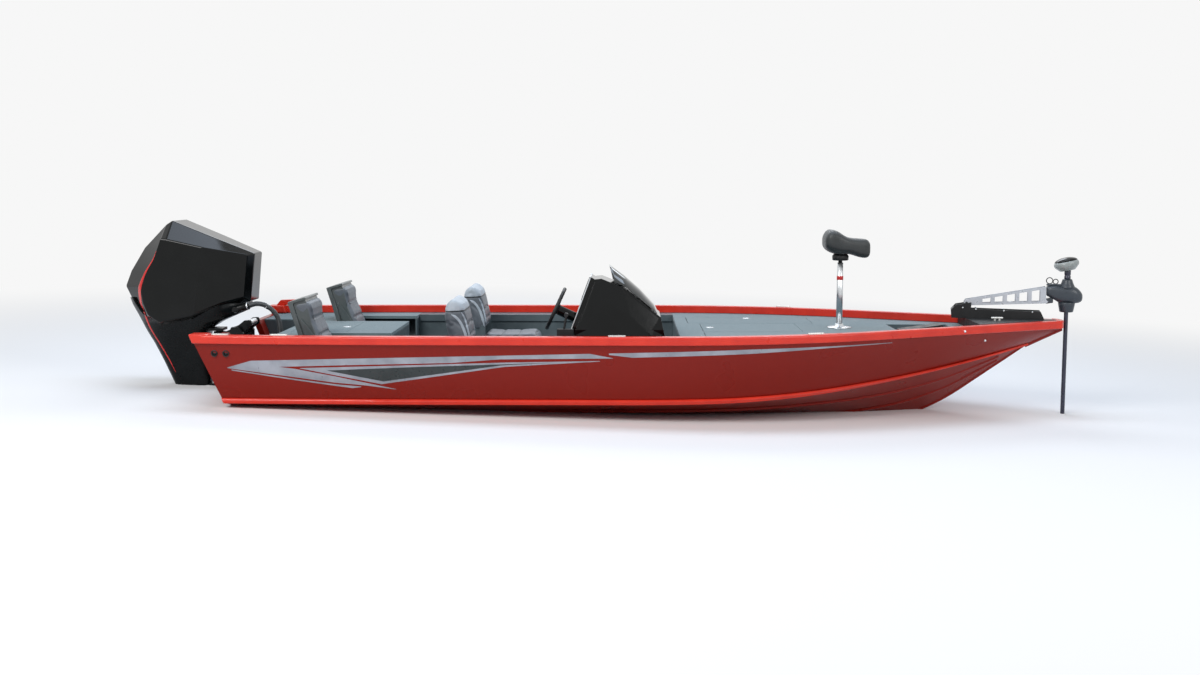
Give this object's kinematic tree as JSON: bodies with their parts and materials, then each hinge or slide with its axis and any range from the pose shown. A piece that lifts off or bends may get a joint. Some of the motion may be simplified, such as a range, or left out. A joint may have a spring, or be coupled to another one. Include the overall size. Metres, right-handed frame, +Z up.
{
  "type": "fishing boat",
  "caption": "Riveted aluminium bass boat with an outboard engine, helm console, folding seats and a bow-mounted electric motor, shown deployed",
  "frame": {"origin": "on the centreline amidships, on the water surface the boat floats at", "axes": "+X forward, +Y to port, +Z up, square to the decks; the water surface slopes down forward by 1.87 degrees in this frame"},
  "size_m": [7.3402, 2.44, 2.066],
  "materials": {
    "red_paint": "deep red metallic paint, gloss",
    "bright_red_trim": "bright red gloss trim",
    "deck_carpet": "short-pile grey deck carpet",
    "grey_liner": "moulded mid-grey liner",
    "black_plastic": "black moulded plastic",
    "hose_rubber": "ribbed black rigging hose",
    "black_gloss": "black gloss moulding",
    "tinted_screen": "smoked clear acrylic",
    "grey_vinyl": "grey marine vinyl",
    "bright_metal": "polished marine fittings",
    "silver_arm": "silver anodised arm",
    "engine_black_metal": "black engine enamel",
    "cast_engine": "engine block",
    "propeller_steel": "polished steel propeller",
    "bow_motor_shaft_metal": "dark shaft and motor pod",
    "bow_propeller_plastic": "black plastic propeller"
  },
  "bodies": {
    "hull": {"hull_bottom": "red_paint", "hull_side_port": "red_paint", "hull_side_starboard": "red_paint", "transom": "red_paint", "keel_and_stem": "red_paint", "chine_rails": "bright_red_trim", "bottom_strakes": "red_paint", "gunwales": "bright_red_trim", "port_quarter_cap": "bright_red_trim", "deck_lockers": "grey_liner", "gunwale_cleats": "bright_metal", "cockpit_floor": "deck_carpet", "cockpit_sides": "grey_liner", "bow_deck": "deck_carpet", "bow_bulkheads": "deck_carpet", "bow_panel": "grey_liner", "pedal_tray": "grey_liner", "foot_pedal": "black_plastic", "rear_deck": "deck_carpet", "rear_bulkheads": "deck_carpet", "splashwell": "grey_liner", "jump_seat_pans": "grey_liner", "jump_seat_cushions": "grey_vinyl", "helm_seat_boxes": "grey_liner", "helm_seat_cushions": "grey_vinyl", "console_body": "black_gloss", "windscreen": "tinted_screen", "engine_control": "black_plastic", "seat_pole": "bright_metal", "clamp_brackets": "engine_black_metal", "bow_motor_base": "black_plastic", "rigging_hose_fore": "hose_rubber"},
    "bow_seat": {"bow_seat": "grey_vinyl"},
    "steering_wheel": {"steering_wheel": "black_plastic"},
    "swivel_bracket": {"swivel_bracket": "engine_black_metal", "steering_ram": "bright_metal"},
    "engine": {"engine_cowl": "black_gloss", "engine_powerhead": "cast_engine", "engine_chaps": "black_gloss", "engine_yoke": "engine_black_metal", "engine_lower_unit": "engine_black_metal", "rigging_hose_aft": "hose_rubber"},
    "engine_propeller": {"engine_propeller": "propeller_steel"},
    "bow_motor_arm": {"bow_motor_arm": "silver_arm"},
    "bow_motor_head": {"bow_motor_head": "black_plastic"},
    "bow_motor_shaft": {"bow_motor_shaft": "bow_motor_shaft_metal"},
    "bow_motor_propeller": {"bow_motor_propeller": "bow_propeller_plastic"},
    "helm_seat_back_port": {"helm_seat_back_port": "grey_vinyl"},
    "jump_seat_back_port": {"jump_seat_back_port": "grey_vinyl"},
    "helm_seat_back_starboard": {"helm_seat_back_starboard": "grey_vinyl"},
    "jump_seat_back_starboard": {"jump_seat_back_starboard": "grey_vinyl"},
    "lid_port_rod_locker": {"lid_port_rod_locker": "deck_carpet"},
    "lid_starboard_rod_locker": {"lid_starboard_rod_locker": "deck_carpet"},
    "lid_centre_storage": {"lid_centre_storage": "deck_carpet"},
    "lid_livewell": {"lid_livewell": "deck_carpet"}
  },
  "joints": [
    {"name": "engine_tilt", "type": "hinge", "parent": "hull", "child": "swivel_bracket", "pos_m": [-3.105, 0, 0.53], "axis": [0, 1, 0], "range_deg": [0, 60], "deforming": ["rigging_hose_fore", "rigging_hose_aft"]},
    {"name": "engine_steer", "type": "hinge", "parent": "swivel_bracket", "child": "engine", "pos_m": [-3.27, 0, 0.3], "axis": [0, 0, 1], "range_deg": [-30, 30]},
    {"name": "engine_propeller_spin", "type": "hinge", "parent": "engine", "child": "engine_propeller", "pos_m": [-3.56, 0, -0.345], "axis": [1, 0, 0], "continuous": true},
    {"name": "wheel_turn", "type": "hinge", "parent": "hull", "child": "steering_wheel", "pos_m": [-0.657, -0.7, 0.764], "axis": [0.9078, 0, -0.4195], "range_deg": [-900, 900]},
    {"name": "bow_seat_swivel", "type": "hinge", "parent": "hull", "child": "bow_seat", "pos_m": [1.461, 0, 1.1], "axis": [0, 0, 1], "continuous": true},
    {"name": "bow_motor_lift", "type": "hinge", "parent": "hull", "child": "bow_motor_arm", "pos_m": [2.46306, 0.18282, 0.735], "axis": [-0.2079, -0.9781, 0], "range_deg": [0, 168]},
    {"name": "bow_motor_fold", "type": "hinge", "parent": "bow_motor_arm", "child": "bow_motor_head", "pos_m": [3.03528, 0.06119, 0.756], "axis": [-0.2079, -0.9781, 0], "range_deg": [-78, 0]},
    {"name": "bow_motor_steer", "type": "hinge", "parent": "bow_motor_head", "child": "bow_motor_shaft", "pos_m": [3.182, 0.03, 0.8], "axis": [0, 0, 1], "continuous": true},
    {"name": "bow_motor_propeller_spin", "type": "hinge", "parent": "bow_motor_shaft", "child": "bow_motor_propeller", "pos_m": [2.96681, 0.07574, -0.545], "axis": [0.9781, -0.2079, 0], "continuous": true},
    {"name": "helm_back_fold_port", "type": "hinge", "parent": "hull", "child": "helm_seat_back_port", "pos_m": [-1.29, 0.586, 0.508], "axis": [0, 1, 0], "range_deg": [0, 96]},
    {"name": "jump_back_fold_port", "type": "hinge", "parent": "hull", "child": "jump_seat_back_port", "pos_m": [-2.3, 0.64, 0.438], "axis": [0, 1, 0], "range_deg": [0, 107]},
    {"name": "helm_back_fold_starboard", "type": "hinge", "parent": "hull", "child": "helm_seat_back_starboard", "pos_m": [-1.29, -0.586, 0.508], "axis": [0, 1, 0], "range_deg": [0, 96]},
    {"name": "jump_back_fold_starboard", "type": "hinge", "parent": "hull", "child": "jump_seat_back_starboard", "pos_m": [-2.3, -0.64, 0.438], "axis": [0, 1, 0], "range_deg": [0, 107]},
    {"name": "lid_port_rod_locker_hinge", "type": "hinge", "parent": "hull", "child": "lid_port_rod_locker", "pos_m": [0.8, 0.762, 0.553], "axis": [-1, 0, 0], "range_deg": [0, 85]},
    {"name": "lid_starboard_rod_locker_hinge", "type": "hinge", "parent": "hull", "child": "lid_starboard_rod_locker", "pos_m": [0.8, -0.762, 0.553], "axis": [1, 0, 0], "range_deg": [0, 85]},
    {"name": "lid_centre_storage_hinge", "type": "hinge", "parent": "hull", "child": "lid_centre_storage", "pos_m": [1.152, 0, 0.553], "axis": [0, 1, 0], "range_deg": [0, 85]},
    {"name": "lid_livewell_hinge", "type": "hinge", "parent": "hull", "child": "lid_livewell", "pos_m": [-2.228, 0, 0.553], "axis": [0, 1, 0], "range_deg": [0, 85]}
  ],
  "couplings": [
    {"joint": "wheel_turn", "follows": "engine_steer", "ratio": 30},
    {"joint": "bow_motor_fold", "follows": "bow_motor_lift", "ratio": -0.46429}
  ]
}
